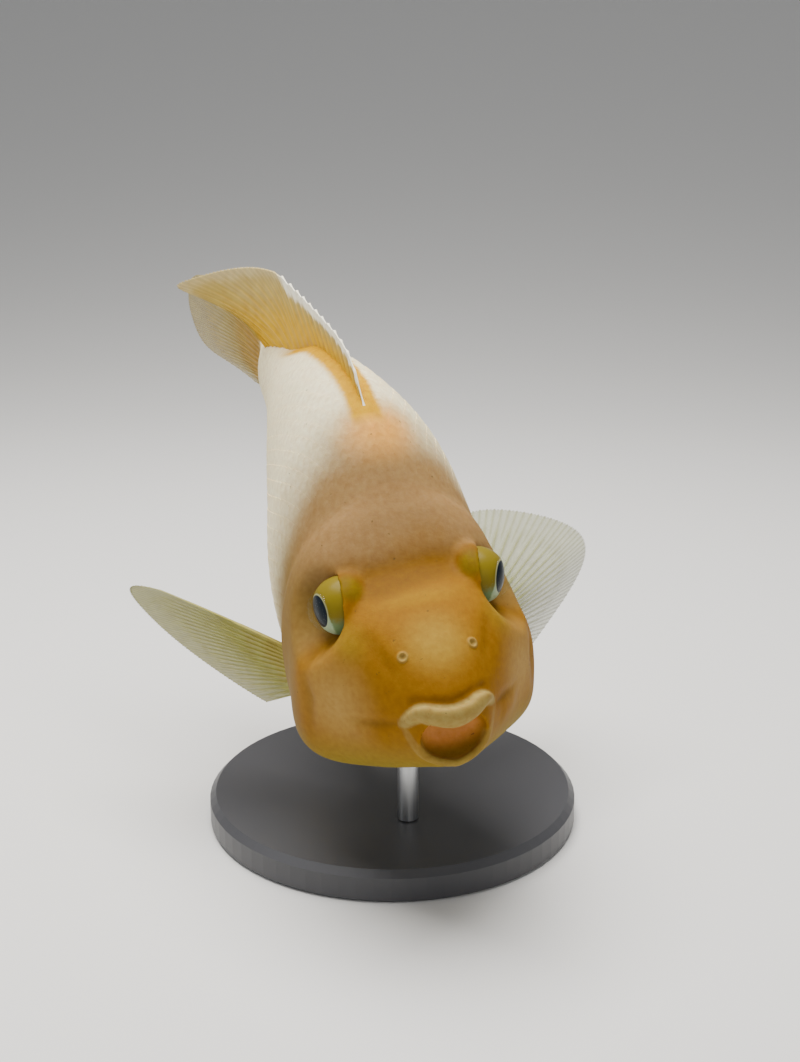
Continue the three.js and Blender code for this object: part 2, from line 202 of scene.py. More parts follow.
# Outlines of the body as (station, value) pairs
outlines = {
    "length": 150,
    "back": [
        (0, 3), (3, 7.5), (8, 11.8), (16, 15.8), (24, 18.5), (29.5, 20.1), (33, 21.3), (36, 25), (41, 30.6),
        (48, 37.3), (57, 44.5), (68, 49.5), (80, 50.5), (90, 49.6), (100, 47.6), (112, 42.5), (124, 37.5),
        (136, 35), (150, 35.5),
    ],
    "belly": [
        (0, -11), (3, -12.5), (8, -16), (16, -21.4), (28, -27), (42, -31.6), (58, -33.8), (72, -31.8),
        (86, -26), (100, -16.5), (113, -5.5), (126, 5.5), (138, 12.2), (150, 14),
    ],
    "side": [
        (0, 7.5), (3, 9.2), (8, 13.2), (16, 19.8), (24, 26.6), (32, 29), (42, 27.4), (54, 26.2), (68, 25.6),
        (84, 21.3), (98, 17.3), (112, 12.8), (126, 8.6), (138, 6.4), (150, 4.8),
    ],
    "widest": [(0, -3), (12, -7.5), (26, -13), (42, -9), (60, 0), (90, 13.5), (120, 21), (150, 25)],
    "roundnessAbove": [
        (0, 2), (12, 2.7), (20, 3), (27, 2.7), (32, 2.4), (37, 2.3), (48, 1.9), (70, 1.8), (90, 1.75),
        (150, 2),
    ],
    "roundnessBelow": [(0, 2.2), (12, 2.7), (30, 2.8), (60, 2.4), (90, 2.1), (150, 2)],
    "snout": 3,
    "gill": {"flank": 49, "nape": 40, "throat": 27, "bow": 1.6},
    "lid": {"raised": 0.9, "from": 0.72, "to": 0.97, "edge": 4},  # from and to: shares of the gill's station
    # the end of the stalk gets thinner and lower inside the root of the tail fin
    "stalkEnd": {"thinned": 0.72, "thinOver": (139, 150), "lowered": 0.24, "lowerOver": (137, 151),
                 "level": 24.75},
    "scaleDepth": 0.25,  # the skin lies this far under the outer faces of the scales
    "columns": 220,
    "rows": 240,
}
back, belly, side, widest, above, below = (
    smoothLine(outlines[key])
    for key in ("back", "belly", "side", "widest", "roundnessAbove", "roundnessBelow")
)


def gillStation(angle):
    gill = outlines["gill"]
    middle = np.where(np.sin(angle) > 0, gill["nape"], gill["throat"])
    return middle + (gill["flank"] - middle) * np.abs(np.cos(angle)) ** gill["bow"]


def bodyPoint(station, angle, grow=0.0):
    s = np.clip(station, 0, outlines["length"])
    c, d = np.cos(angle), np.sin(angle)
    power = 2 / np.where(d > 0, above(s), below(s))
    reach = np.where(d > 0, back(s) - widest(s), widest(s) - belly(s))
    nearSnout = np.clip(s / outlines["snout"], 0, 1)
    taper = 0.55 + 0.45 * np.sqrt(1 - (1 - nearSnout) ** 2)
    across = np.sign(c) * np.abs(c) ** power * (side(s) * taper + grow)
    level = widest(s) + np.sign(d) * np.abs(d) ** power * (reach * taper + grow)
    return np.stack([across, station + 0 * angle, level], 1)


face = {
    "upperLip": {
        "points": [(-9.8, 7.0, -1.6), (-9.3, 4.8, 0.8), (-7.2, 2.3, 3.9), (-3.7, 0.4, 3.5), (0, -0.3, 3.0),
                   (3.7, 0.4, 3.5), (7.2, 2.3, 4.3), (9.3, 4.9, 1.6), (9.8, 7.2, -1.2)],
        "thick": [(0, 0.7), (0.14, 1.2), (0.27, 1.9), (0.5, 2.5), (0.73, 1.8), (0.86, 1.0), (1, 0.5)],
        "painted": 1,
    },
    "lowerLip": {
        "points": [(-9.3, 6.4, 0.6), (-8.8, 3.8, -2.8), (-6.1, 1.0, -7.0), (0, -0.4, -9.1),
                   (6.1, 1.0, -7.0), (8.8, 3.8, -2.8), (9.3, 6.4, 0.6)],
        "thick": [(0, 0.8), (0.5, 1.05), (1, 0.8)],
        "painted": 0.4,
    },
    "lipDepth": 0.58,  # in shares of the lip's height
    "lipEdge": (0.1, 0.7),  # over which the paint of the lips fades
    "mouthMiddle": (0, 1.2, -2.9),
    "mouthRadii": (7.4, 5.4, 5.7),
    "grain": 0.42,  # size of the faces, which are made larger on the trunk
    "fineTo": 46,  # station
    "trunkShare": 0.44,
    "rounding": 7,
}


def arc(radius, height, turns):
    # a round stretch of an outline for turnedOn, with its turns in fiftieths of a radian
    return [(radius * math.sin(t / 50), radius * math.cos(t / 50) + height) for t in turns]


eyes = {
    "station": 32.5,
    "level": {"right": 14.2, "left": 15.0},
    "across": {"right": 15.6, "left": 16.2},
    "size": 1.07,
    "forward": {"right": math.radians(13), "left": math.radians(33)},
    # (radius, height ahead of the eye's middle)
    "rim": [(0, -6), (5, -5.6), (6.5, -4.2), (6.95, -2.4), (6.95, -1.0), (6.9, -0.2), (6.7, 0.4),
            (6.4, 0.6), (6.1, 0.3), (5.95, -0.3), (5.8, -1.0), (0, -1.0)],
    "rimLean": 0.36,  # the rim stands higher before the eye than behind it
    "ball": arc(6.2, 0, range(130, 38, -4)) + [
        (4.1, 4.62), (3.7, 4.86), (3.3, 5.06), (2.7, 5.3), (2.0, 5.52), (1.2, 5.68), (0.5, 5.75), (0, 5.76),
    ],
    "cornea": [(0, 3.4), (4.2, 3.6)] + arc(4.9, 2.7, range(58, -1, -3)),
}

# Round each eye the skin is pressed down to a floor with a wall at the rim and a slope beyond it.
# Under the eye both are steeper. Pairs are (from, to) in distance from the axis of the eye.
sockets = {
    "floor": 0.2,
    "wall": 1,
    "wallUnder": 1.7,
    "wallOver": (6.0, 7.0),
    "slope": 0.85,
    "slopeUnder": 1.3,
    "leanOver": (-2, 7),  # before the eye
    "fadeOver": (8.5, 13.5),
    "softness": 5,
}


def routeLines(points):
    # a smooth line for each number of the points, by the share of the way along them
    last = len(points) - 1
    return [smoothLine([(i / last, point[k]) for i, point in enumerate(points)])
            for k in range(len(points[0]))]


def tube(name, points, thick, columns=24, rows=60):
    along = routeLines(points)
    radius = smoothLine(thick)

    def place(u, v):
        middle = np.stack([line(v) for line in along], 1)
        little = 0.004
        ahead = np.stack([line(v + little) - line(v - little) for line in along], 1)
        ahead /= np.linalg.norm(ahead, axis=1)[:, None]
        up = np.cross(ahead, [0, 1, 0])
        up /= np.linalg.norm(up, axis=1)[:, None]
        out = np.cross(up, ahead)
        turn = 2 * math.pi * u
        spoke = up * np.cos(turn)[:, None] + out * np.sin(turn)[:, None]
        spoke[:, 1] *= face["lipDepth"]
        return middle + spoke * radius(v)[:, None]

    piece = newGrid(name, columns, rows, place)
    weld(piece, closeHoles=True)
    return piece


def turnedOn(name, outline, columns=64):
    # a lathe piece round +Y, from (radius, height) pairs
    radii, heights = np.array(outline, float).T * eyes["size"]
    rows = len(outline) - 1

    def place(u, v):
        i = np.round(v * rows).astype(int)
        turn = 2 * math.pi * u
        return np.stack([radii[i] * np.cos(turn), heights[i], -radii[i] * np.sin(turn)], 1)

    piece = newGrid(name, columns, rows, place)
    weld(piece, closeHoles=True)
    return piece


bothEyes = [(-1, "right"), (1, "left")]

print("Modelling the skin")


def eyeLine(hand, name):
    # the middle of an eye and the way that it looks
    forward = eyes["forward"][name]
    middle = np.array([hand * eyes["across"][name], eyes["station"], eyes["level"][name]])
    return middle, np.array([hand * math.cos(forward), -math.sin(forward), 0])


def lookOut(piece, hand, name):
    turn = Matrix.Rotation(-hand * (math.pi / 2 + eyes["forward"][name]), 4, "Z")
    piece.data.transform(Matrix.Translation(eyeLine(hand, name)[0]) @ turn)


def roundEye(points, hand, name):
    # height ahead of the eye's middle, distance from its axis, and how far before the eye
    middle, way = eyeLine(hand, name)
    height = (points - middle) @ way
    before = (points - middle) @ np.array([hand * way[1], -hand * way[0], 0])
    return height, np.linalg.norm(points - middle - height[:, None] * way, axis=1), before


def pressRoundEyes(points):
    slopeFrom = sockets["wallOver"][1]
    for hand, name in bothEyes:
        middle, way = eyeLine(hand, name)
        height, far, before = roundEye(points, hand, name)
        under = np.clip((middle[2] - points[:, 2]) / (far + 0.1), 0, 1)
        wall = sockets["wall"] + sockets["wallUnder"] * under
        slope = sockets["slope"] + sockets["slopeUnder"] * under
        floor = sockets["floor"] + wall * ease(far, *sockets["wallOver"])
        floor += slope * np.maximum(far - slopeFrom, 0)
        floor += eyes["rimLean"] * np.clip(before, *sockets["leanOver"])
        over = height - floor
        down = (over + np.sqrt(over ** 2 + sockets["softness"])) / 2 * (1 - ease(far, *sockets["fadeOver"]))
        points = points - way * down[:, None]
    return points


def baseBody():
    lid, stalkEnd = outlines["lid"], outlines["stalkEnd"]

    def place(u, v):
        angle = 2 * math.pi * (u - 0.25)
        station = outlines["length"] * v ** 1.2  # closer rows at the snout
        edge = gillStation(angle)
        covered = ease(station, edge, edge + lid["edge"])
        cover = lid["raised"] * ease(station / edge, lid["from"], lid["to"])
        cover = cover * np.abs(np.cos(angle)) * (1 - covered)
        points = bodyPoint(station, angle, cover - outlines["scaleDepth"] * covered)
        points[:, 0] *= 1 - stalkEnd["thinned"] * ease(station, *stalkEnd["thinOver"])
        lower = 1 - stalkEnd["lowered"] * ease(station, *stalkEnd["lowerOver"])
        points[:, 2] = stalkEnd["level"] + (points[:, 2] - stalkEnd["level"]) * lower
        return pressRoundEyes(points)

    piece = newGrid("skin", outlines["columns"], outlines["rows"], place)
    weld(piece, closeHoles=True)
    return piece


def cutWith(piece, cutter):
    finishWith(piece, "BOOLEAN", operation="DIFFERENCE", object=cutter, solver="EXACT")
    bpy.data.objects.remove(cutter)


def mouthRoom():
    bpy.ops.object.select_all(action="DESELECT")
    bpy.ops.mesh.primitive_uv_sphere_add(segments=48, ring_count=32, radius=1)
    room = bpy.context.object
    points = readPoints(room)
    writePoints(room, points * face["mouthRadii"] + face["mouthMiddle"])
    return room


def makeSkin():
    skin = baseBody()
    cutWith(skin, mouthRoom())
    pieces = [skin]
    for key in ("upperLip", "lowerLip"):
        pieces.append(tube(key, face[key]["points"], face[key]["thick"]))
    for hand, name in bothEyes:
        rim = turnedOn("rim", eyes["rim"])
        points = readPoints(rim)
        points[:, 1] += hand * eyes["rimLean"] * points[:, 0]
        writePoints(rim, points)
        lookOut(rim, hand, name)
        pieces.append(rim)
    skin = joined("skin", pieces)
    finishWith(skin, "REMESH", mode="VOXEL", voxel_size=face["grain"])
    print("  voxel faces:", len(skin.data.polygons))
    finishWith(skin, "SMOOTH", factor=0.5, iterations=face["rounding"])
    return skin


def thinTrunk(skin):
    group = skin.vertex_groups.new(name="trunk")
    station = readPoints(skin)[:, 1]
    group.add([int(i) for i in np.nonzero(station > face["fineTo"])[0]], 1, "REPLACE")
    finishWith(skin, "DECIMATE", ratio=face["trunkShare"], vertex_group="trunk",
               use_collapse_triangulate=True)


def nostrilAt(hand):
    return (hand * nostrils["across"], *nostrils["place"])


def refineNostrils(skin):
    only(skin)
    bpy.ops.object.mode_set(mode="EDIT")
    bpy.ops.mesh.select_all(action="DESELECT")
    bpy.ops.mesh.select_mode(type="FACE")
    bpy.ops.object.mode_set(mode="OBJECT")
    centres = np.empty(len(skin.data.polygons) * 3)
    skin.data.polygons.foreach_get("center", centres)
    centres = centres.reshape(-1, 3)
    near = np.zeros(len(centres), bool)
    for hand in (-1, 1):
        near |= np.linalg.norm(centres - nostrilAt(hand), axis=1) < nostrils["reach"]
    skin.data.polygons.foreach_set("select", near)
    bpy.ops.object.mode_set(mode="EDIT")
    bpy.ops.mesh.subdivide(number_cuts=2, smoothness=0)
    bpy.ops.object.mode_set(mode="OBJECT")


def sculpt(skin):
    # folds and pits of the face, pressed in along the skin's own normals
    points, normals = readPoints(skin), readNormals(skin)
    push = np.zeros(len(points))
    for fold in folds:
        for hand in (-1, 1) if fold["bothSides"] else (1,):
            push += fold["lift"] * foldShare(points, fold, hand, fold["width"])
    for hand in (-1, 1):
        far = np.linalg.norm(points - nostrilAt(hand), axis=1)
        push += nostrils["lift"] * np.exp(-((far - nostrils["ring"]) / nostrils["ringWidth"]) ** 2)
        push -= nostrils["pit"] * np.exp(-(far / nostrils["pitWidth"]) ** 2)
    writePoints(skin, points + normals * push[:, None])
    finishWith(skin, "SMOOTH", factor=0.5, iterations=2)
    softenBrow(skin, points)


def softenBrow(skin, points):
    # the brow and the surroundings of the eyes are soft, and the rims stay sharp
    station, level = points[:, 1], points[:, 2]
    share = ease(level, *brow["level"]) * ease(station, *brow["front"])
    share = share * (1 - ease(station, *brow["back"]))
    for hand, name in bothEyes:
        height, far, _ = roundEye(points, hand, name)
        near = (height > brow["behindEye"]) & (far < brow["eyeOuter"][1])
        share = np.maximum(share, near * ease(far, *brow["eyeInner"]) * (1 - ease(far, *brow["eyeOuter"])))
        share *= 1 - near * brow["rimKept"] * (1 - ease(far, *brow["rim"]))
    soft = skin.vertex_groups.new(name="soft")
    for i in np.nonzero(share > 0.02)[0]:
        soft.add([int(i)], float(share[i]), "REPLACE")
    finishWith(skin, "SMOOTH", factor=0.5, iterations=brow["rounding"], vertex_group="soft")


def markFace(skin):
    # where the lips and the folds are, for the paint of the lips and the painted shade in the folds
    points = readPoints(skin)
    lip, fold = np.zeros(len(points)), np.zeros(len(points))
    along = np.linspace(0, 1, 40)
    for key in ("upperLip", "lowerLip"):
        line = np.stack([axis(along) for axis in routeLines(face[key]["points"])], 1)
        thick = smoothLine(face[key]["thick"])(along)
        far = np.linalg.norm(points[:, None] - line[None], axis=2) - thick[None]
        lip = np.maximum(lip, face[key]["painted"] * (1 - ease(far.min(axis=1), *face["lipEdge"])))
    for crease in folds:
        if crease["lift"] < 0:
            for hand in (-1, 1) if crease["bothSides"] else (1,):
                fold = np.maximum(fold, foldShare(points, crease, hand, min(crease["width"], 2) * 0.9))
    keep(skin, "lip", lip)
    keep(skin, "fold", fold)


def foldShare(points, fold, hand, width):
    # 1 along the fold's line, 0 away from it, fading towards its ends
    corners = np.array([(hand * x, y, z) for x, y, z in fold["line"]])
    nearest, along = np.full(len(points), 1e9), np.zeros(len(points))
    for i, (a, b) in enumerate(zip(corners[:-1], corners[1:])):
        t = np.clip((points - a) @ (b - a) / ((b - a) @ (b - a)), 0, 1)
        far = np.linalg.norm(points - a - t[:, None] * (b - a), axis=1)
        along = np.where(far < nearest, (i + t) / (len(corners) - 1), along)
        nearest = np.minimum(nearest, far)
    start, end = fold["fade"]
    share = np.exp(-(nearest / width) ** 2) * ease(along, 0, start + 0.001)
    return share * (1 - ease(along, 0.999 - end, 1))


nostrils = {
    "across": 8, "place": (11, 12.9), "reach": 2.6, "ring": 1.1, "ringWidth": 0.32, "lift": 0.36,
    "pit": 0.9, "pitWidth": 0.6,
}
brow = {  # pairs are (from, to)
    "level": (13, 17),
    "front": (21, 25),
    "back": (37, 42),
    "behindEye": -2,
    "eyeInner": (7, 8.6),  # distances from the axis of the eye
    "eyeOuter": (12, 17),
    "rim": (6.6, 8.2),
    "rimKept": 0.85,
    "rounding": 50,
}
folds = [
    # the dent of the brow, and the ledge under it
    {"line": [(-16.5, 35, 20.6), (-9.7, 31.6, 20.8), (-2, 31, 21), (5, 31, 20.9), (15, 34, 20.4)],
     "lift": -0.25, "width": 3.4, "fade": (0.15, 0.15), "bothSides": False},
    {"line": [(-14, 25.2, 17.6), (-4, 24.8, 18.6), (4.5, 24.8, 18.6), (14, 25.2, 17.6)], "lift": 0.2,
     "width": 3.0, "fade": (0.2, 0.2), "bothSides": False},
    # from the eye to the corner of the mouth
    {"line": [(15.7, 23.5, 14.6), (12.4, 17, 12.6), (10.2, 10.6, 9.8), (9.2, 6.3, 6.8)], "lift": -0.5,
     "width": 1.7, "fade": (0.3, 0.45), "bothSides": True},
    # behind the cheek
    {"line": [(20, 40.5, 18), (23.8, 30.4, 6.3), (25.9, 24.6, -2.9), (25.8, 24.2, -18)],
     "lift": -0.9, "width": 1.8, "fade": (0.3, 0.35), "bothSides": True},
    {"line": [(22, 34.5, 9), (25.4, 27.8, -2.9), (25.6, 27, -16)], "lift": 0.4, "width": 2.4,
     "fade": (0.3, 0.3), "bothSides": True},
    # across the cheek from the corner of the mouth
    {"line": [(20.5, 17.8, -4.6), (17, 13.2, -3.6), (13.6, 9.6, -1.9), (10.2, 6.6, -0.6)], "lift": -0.8,
     "width": 1.3, "fade": (0.55, 0.0), "bothSides": True},
    {"line": [(20, 16.4, -8), (15.5, 11.4, -6.5), (11.4, 8, -5)], "lift": 0.5, "width": 2.4,
     "fade": (0.4, 0.3), "bothSides": True},
    # over the upper lip
    {"line": [(-9.4, 5.6, 4.8), (-6, 3, 6.4), (0, 1.4, 5.9), (6, 3, 6.7), (9.4, 5.6, 5.2)], "lift": -0.5,
     "width": 0.8, "fade": (0.1, 0.1), "bothSides": False},
]

skin = makeSkin()
refineNostrils(skin)
sculpt(skin)
thinTrunk(skin)
markFace(skin)
smoothShade(skin)
skinTree = BVHTree.FromPolygons([v.co.copy() for v in skin.data.vertices],
                                [list(polygon.vertices) for polygon in skin.data.polygons])
poseFish(skin)
print("  skin faces:", len(skin.data.polygons))

print("Modelling the scales")
scales = {
    "first": 38.0,  # stations of the first and the last ring, and where the last scales end
    "last": 146.5,
    "end": 149.5,
    "from": 44,  # station on the ridge of the back
    "ridge": 0.75,  # sine of the angle at which the ridge begins
    "gap": 1.5,  # behind the edge of the gill
    "size": [(38, 2.8), (60, 4.1), (90, 4.2), (120, 3.5), (150, 2.7)],  # by station
    "step": 0.56,  # from ring to ring, in sizes
    "long": 1.45,  # in sizes
    "wide": 1.12,
    "raised": 0.26,
    "tucked": 0.25,  # at the root
    "sunk": 0.45,  # the under side
    "thinnest": 0.4,  # share of the height in front
    "thinOver": (40, 60),
    "lateral": 0.15,  # angle of the row in the middle of the flank
    "rim": (0.72, 1.0),
    "patch": 0.003,  # share of the map for one scale
    "mapStart": 30,  # the map's edge and size in millimetres
    "mapLong": 125,
    "mapWide": 130,
}


def scalePlaces():
    # for each scale its station and size, its root's distance round the body, the table of that
    # distance against the angle, and its place across the map
    size = smoothLine(scales["size"])
    angles = np.linspace(-math.pi / 2 - 0.6, math.pi / 2 + 0.6, 261)
    station, ring, places = scales["first"], 0, []
    while station < scales["last"]:
        across = float(size(station))
        line = bodyPoint(np.full(len(angles), station), angles)
        girth = np.concatenate([[0], np.cumsum(np.linalg.norm(np.diff(line, axis=0), axis=1))])
        low, middle, high = np.interp([-math.pi / 2, scales["lateral"], math.pi / 2], angles, girth)
        for row in range(-30, 31):
            at = middle + (row + 0.5 * (ring % 2)) * across
            angle = float(np.interp(at, girth, angles))
            start = scales["from"]
            if math.sin(angle) <= scales["ridge"]:
                start = gillStation(np.array([angle]))[0] + scales["gap"]
            if low < at < high + 0.1 and station > start:
                places.append((station, across, at, girth, (at - middle) / scales["mapWide"] + 0.5))
        station += across * scales["step"]
        ring += 1
    return angles, places


def scaleCoat(name, hand):
    angles, places = scalePlaces()
    bpy.ops.object.select_all(action="DESELECT")
    bpy.ops.mesh.primitive_grid_add(x_subdivisions=4, y_subdivisions=4, size=1)
    coat = bpy.context.object
    coat.name = name
    finishWith(coat, "SOLIDIFY", thickness=1, offset=-1)
    one = readPoints(coat)
    finishWith(coat, "ARRAY", count=len(places), use_relative_offset=False, use_constant_offset=True)
    aside = one[:, 0] * 2
    behind = one[:, 1] + 0.5
    under = one[:, 2] < -0.5
    # a scale is narrower at its root, rounded behind and raised towards the middle of its rim
    wide = aside * (0.72 + 0.28 * np.sin(math.pi * np.clip(behind * 0.8, 0, 1)))
    run = behind * (1 - 0.4 * aside ** 2)
    height = scales["raised"] * ease(run, 0.1, 0.9) * (1 - 0.4 * aside ** 4)
    height = height - scales["tucked"] * (1 - ease(run, 0, 0.3))
    points = np.empty((len(places), len(one), 3))
    uv = np.empty((len(places), len(one), 2))
    for i, (station, size, at, girth, mapPlace) in enumerate(places):
        across = np.interp(at + wide * size * scales["wide"] / 2, girth, angles)
        along = np.clip(station + run * size * scales["long"], 0, scales["end"])
        outer = bodyPoint(along, across)
        outer[:, 0] *= hand
        fade = ease(station, *scales["thinOver"]) * (1 - scales["thinnest"]) + scales["thinnest"]
        for k, corner in enumerate(outer):
            place, normal = skinTree.find_nearest(Vector(corner))[:2]
            lift = height[k] * fade - (scales["sunk"] if under[k] else 0)
            points[i, k] = place + normal * lift
        uv[i, :, 0] = mapPlace + wide * scales["patch"] / 2
        uv[i, :, 1] = (station - scales["mapStart"]) / scales["mapLong"] + run * scales["patch"]
    writePoints(coat, points.reshape(-1, 3))
    while coat.data.uv_layers:
        coat.data.uv_layers.remove(coat.data.uv_layers[0])
    layer = coat.data.uv_layers.new(name="OFBake")
    loops = np.empty(len(coat.data.loops), int)
    coat.data.loops.foreach_get("vertex_index", loops)
    layer.data.foreach_set("uv", uv.reshape(-1, 2)[loops].astype(np.float32).ravel())
    keep(coat, "rim", np.tile(ease(run, *scales["rim"]), len(places)))
    only(coat)
    bpy.ops.object.mode_set(mode="EDIT")
    bpy.ops.mesh.select_all(action="SELECT")
    bpy.ops.mesh.normals_make_consistent(inside=False)
    bpy.ops.object.mode_set(mode="OBJECT")
    smoothShade(coat, 40)
    poseFish(coat)
    print("  scales:", len(places), "faces:", len(coat.data.polygons))
    return coat


coats = {name: scaleCoat("scales_" + name, hand) for hand, name in bothEyes}

print("Modelling the fins")
# Each ray of a middle fin is (station and level of its root, station and level of its tip)
middleFins = {
    "dorsal_fin": {
        "rays": [
            (60, 44, 62, 47), (63.5, 45, 68, 53.5), (67, 46, 73, 56.5), (71, 47, 78, 57.5), (75, 48, 83, 58),
            (79, 48, 88, 58), (83, 48, 93, 58), (87, 47, 98, 58), (91, 46, 103, 58), (95, 46, 108, 58),
            (99, 45, 113, 58), (103, 43, 118.5, 58), (107, 41, 125, 58), (111, 39, 132, 57.5),
            (115, 37, 140, 56.5), (119, 35.5, 148.5, 54.5), (123, 34, 156.5, 52), (127, 33, 162, 49.5),
            (130.5, 32, 158, 46), (134, 32, 149, 41.5), (137, 32, 144, 37.5),
        ],
        "curlStrength": 0.013,
        "curlStart": 124,
        "spines": 12,
        "notch": 0.06,
    },
    "anal_fin": {
        "rays": [
            (92, -18, 95, -25), (95, -16, 99.5, -29.5), (98, -14, 105, -31), (101, -11, 111, -31),
            (104, -8, 117.5, -30.5), (107, -5, 125, -29.5), (110, -2, 133, -27), (113, 0, 141, -22.5),
            (116, 3, 147, -16.5), (119, 6, 149, -9.5), (122, 8, 143, -2.5), (125, 10, 136, 3.5),
            (127.5, 12, 133, 7),
        ],
        "curlStrength": 0,
        "curlStart": 0,
        "spines": 4,
        "notch": 0.08,
    },
    "tail_fin": {
        "rays": [
            (147, 34, 160, 39), (147, 32.5, 172, 42), (147, 31, 180, 43), (147, 29.6, 184, 41.5),
            (147, 28.2, 186, 39), (147, 26.8, 187, 36), (147, 25.4, 187.5, 33), (147, 24, 187.5, 29.8),
            (147, 22.7, 187, 26.5), (147, 21.4, 186, 23.2), (147, 20.1, 184, 20.2), (147, 18.8, 180, 17.8),
            (147, 17.3, 172, 16), (147, 15, 160, 14),
        ],
        "curlStrength": 0,
        "curlStart": 0,
        "spines": 0,
        "notch": 0,
    },
}
finSkin = {
    "thick": 1.2,
    "membrane": 0.22,  # in shares of the thickness
    "rootTo": 0.28,  # from here on and below, all in shares of the fin's height
    "forks": [(1, -1, 0.42), (2, 0.3, 0.78), (4, 0.68, 2)],  # branches of a ray, from, to
    "forkFade": 0.12,
    "fray": 0.012,
    "rayWidth": 0.32,  # in shares of half the space between two rays
    "spineFade": 0.04,  # in shares of the fin's length
    "columnsPerRay": 16,
    "rows": 60,
}


def awayFromRay(over, rays, branches=1):
    # 0 on a ray or branch, 1 half-way to the next
    at = branches * over * (rays - 1)
    return np.abs(at - np.round(at)) * 2


def finSheet(name, rays, place, spines=0, notch=0.0):
    # the first rays may be spines, with the skin cut back between their tips
    spineEnd = spines / (rays - 1)
    softStart = spineEnd + finSkin["spineFade"]

    def cutBack(u, v):
        spiny = 1 - ease(u, spineEnd, softStart)
        frayed = finSkin["fray"] * np.sin(u * (rays - 1) * 8 * math.pi) ** 2
        return place(u, v * (1 - notch * spiny * awayFromRay(u, rays) - frayed * (1 - spiny)))

    piece = newGrid(name, finSkin["columnsPerRay"] * (rays - 1), finSkin["rows"], cutBack)
    flat = np.empty(len(piece.data.loops) * 2)
    piece.data.uv_layers[0].data.foreach_get("uv", flat)
    loops = np.empty(len(piece.data.loops), int)
    piece.data.loops.foreach_get("vertex_index", loops)
    uv = np.zeros((len(piece.data.vertices), 2))
    uv[loops] = flat.reshape(-1, 2)
    over, along = uv.T
    spiny = 1 - ease(over, spineEnd, softStart) if spines else np.zeros(len(over))
    crest = np.zeros(len(over))
    for branches, low, high in finSkin["forks"]:
        fade = finSkin["forkFade"]
        here = ease(along, low, low + fade) * (1 - ease(along, high, high + fade))
        here = here * (1 - spiny) + (spiny if branches == 1 else 0)
        ray = np.exp(-(awayFromRay(over, rays, branches) / finSkin["rayWidth"]) ** 2)
        crest = np.maximum(crest, here * ray / branches ** 0.4)
    root = 1 - ease(along, 0, finSkin["rootTo"])
    thickness = finSkin["membrane"] + (1 - finSkin["membrane"]) * crest * (1 - 0.6 * along)
    thickness = np.maximum(thickness, root ** 1.5)
    group = piece.vertex_groups.new(name="thickness")
    for i, value in enumerate(thickness):
        group.add([i], float(value), "REPLACE")
    keep(piece, "crest", crest)
    keep(piece, "along", along)
    keep(piece, "spiny", spiny)
    finishWith(piece, "SOLIDIFY", thickness=finSkin["thick"], offset=0, vertex_group="thickness",
               thickness_vertex_group=0)
    smoothShade(piece)
    return piece


def middleFin(name, rays, curlStrength, curlStart, spines, notch):
    lines = routeLines(rays)

    def place(u, v):
        rootStation, rootLevel, tipStation, tipLevel = (line(u) for line in lines)
        station = rootStation + (tipStation - rootStation) * v
        level = rootLevel + (tipLevel - rootLevel) * v
        across = -curlStrength * np.maximum(station - curlStart, 0) ** 2
        return np.stack([across, station, level], 1)

    return finSheet(name, len(rays), place, spines, notch)


breastFin = {
    "rootTop": (21.5, 55, -13), "rootBottom": (19.5, 55, -24), "rays": 12,
    "rightWays": [(41, 56, 6), (29, 39, -5), (12, 17, -13)],
    "leftWays": [(12, 48, 7), (49, 35, -3), (27, 12, -11)],
}
bellyFin = {
    "rootTop": (6, 50, -28), "rootBottom": (8, 57, -28), "rays": 7,
    "ways": [(9, 29, -24), (8, 29, -16), (4, 22, -9)],
}


def fan(name, hand, fin, ways):
    wayAt = routeLines(ways)

    def place(u, v):
        rounded = v * (1 - 0.3 * (1 - u) ** 12 - 0.12 * u ** 8)  # the first and last rays are shorter
        spots = [
            fin["rootTop"][k] + (fin["rootBottom"][k] - fin["rootTop"][k]) * u + wayAt[k](u) * rounded
            for k in range(3)
        ]
        return np.stack([hand * spots[0], spots[1], spots[2]], 1)

    return finSheet(name, fin["rays"], place)


finPieces = {}
for name, fin in middleFins.items():
    finPieces[name] = middleFin(name + "_skin", **fin)
finPieces["pectoral_fin_right"] = fan("pectoral_fin_right_skin", -1, breastFin, breastFin["rightWays"])
finPieces["pectoral_fin_left"] = fan("pectoral_fin_left_skin", 1, breastFin, breastFin["leftWays"])
finPieces["pelvic_fin_right"] = fan("pelvic_fin_right_skin", -1, bellyFin, bellyFin["ways"])
finPieces["pelvic_fin_left"] = fan("pelvic_fin_left_skin", 1, bellyFin, bellyFin["ways"])
for piece in finPieces.values():
    poseFish(piece)

print("Modelling the eyes")
eyePieces = {}
for hand, name in bothEyes:
    for part in ("ball", "cornea"):
        piece = turnedOn("eye" + part.capitalize() + "_" + name, eyes[part], columns=96)
        keep(piece, "straight", readPoints(piece))
        lookOut(piece, hand, name)
        smoothShade(piece, 50)
        poseFish(piece)
        eyePieces[part, name] = piece

print("Making the materials")


class Wire:
    # an output socket that can be used in sums
    def __init__(self, tree, socket):
        self.tree, self.socket = tree, socket

    def __add__(self, other):
        return maths(self.tree, "ADD", self, other)

    def __radd__(self, other):
        return maths(self.tree, "ADD", other, self)

    def __sub__(self, other):
        return maths(self.tree, "SUBTRACT", self, other)

    def __rsub__(self, other):
        return maths(self.tree, "SUBTRACT", other, self)

    def __mul__(self, other):
        return maths(self.tree, "MULTIPLY", self, other)

    def __rmul__(self, other):
        return maths(self.tree, "MULTIPLY", other, self)


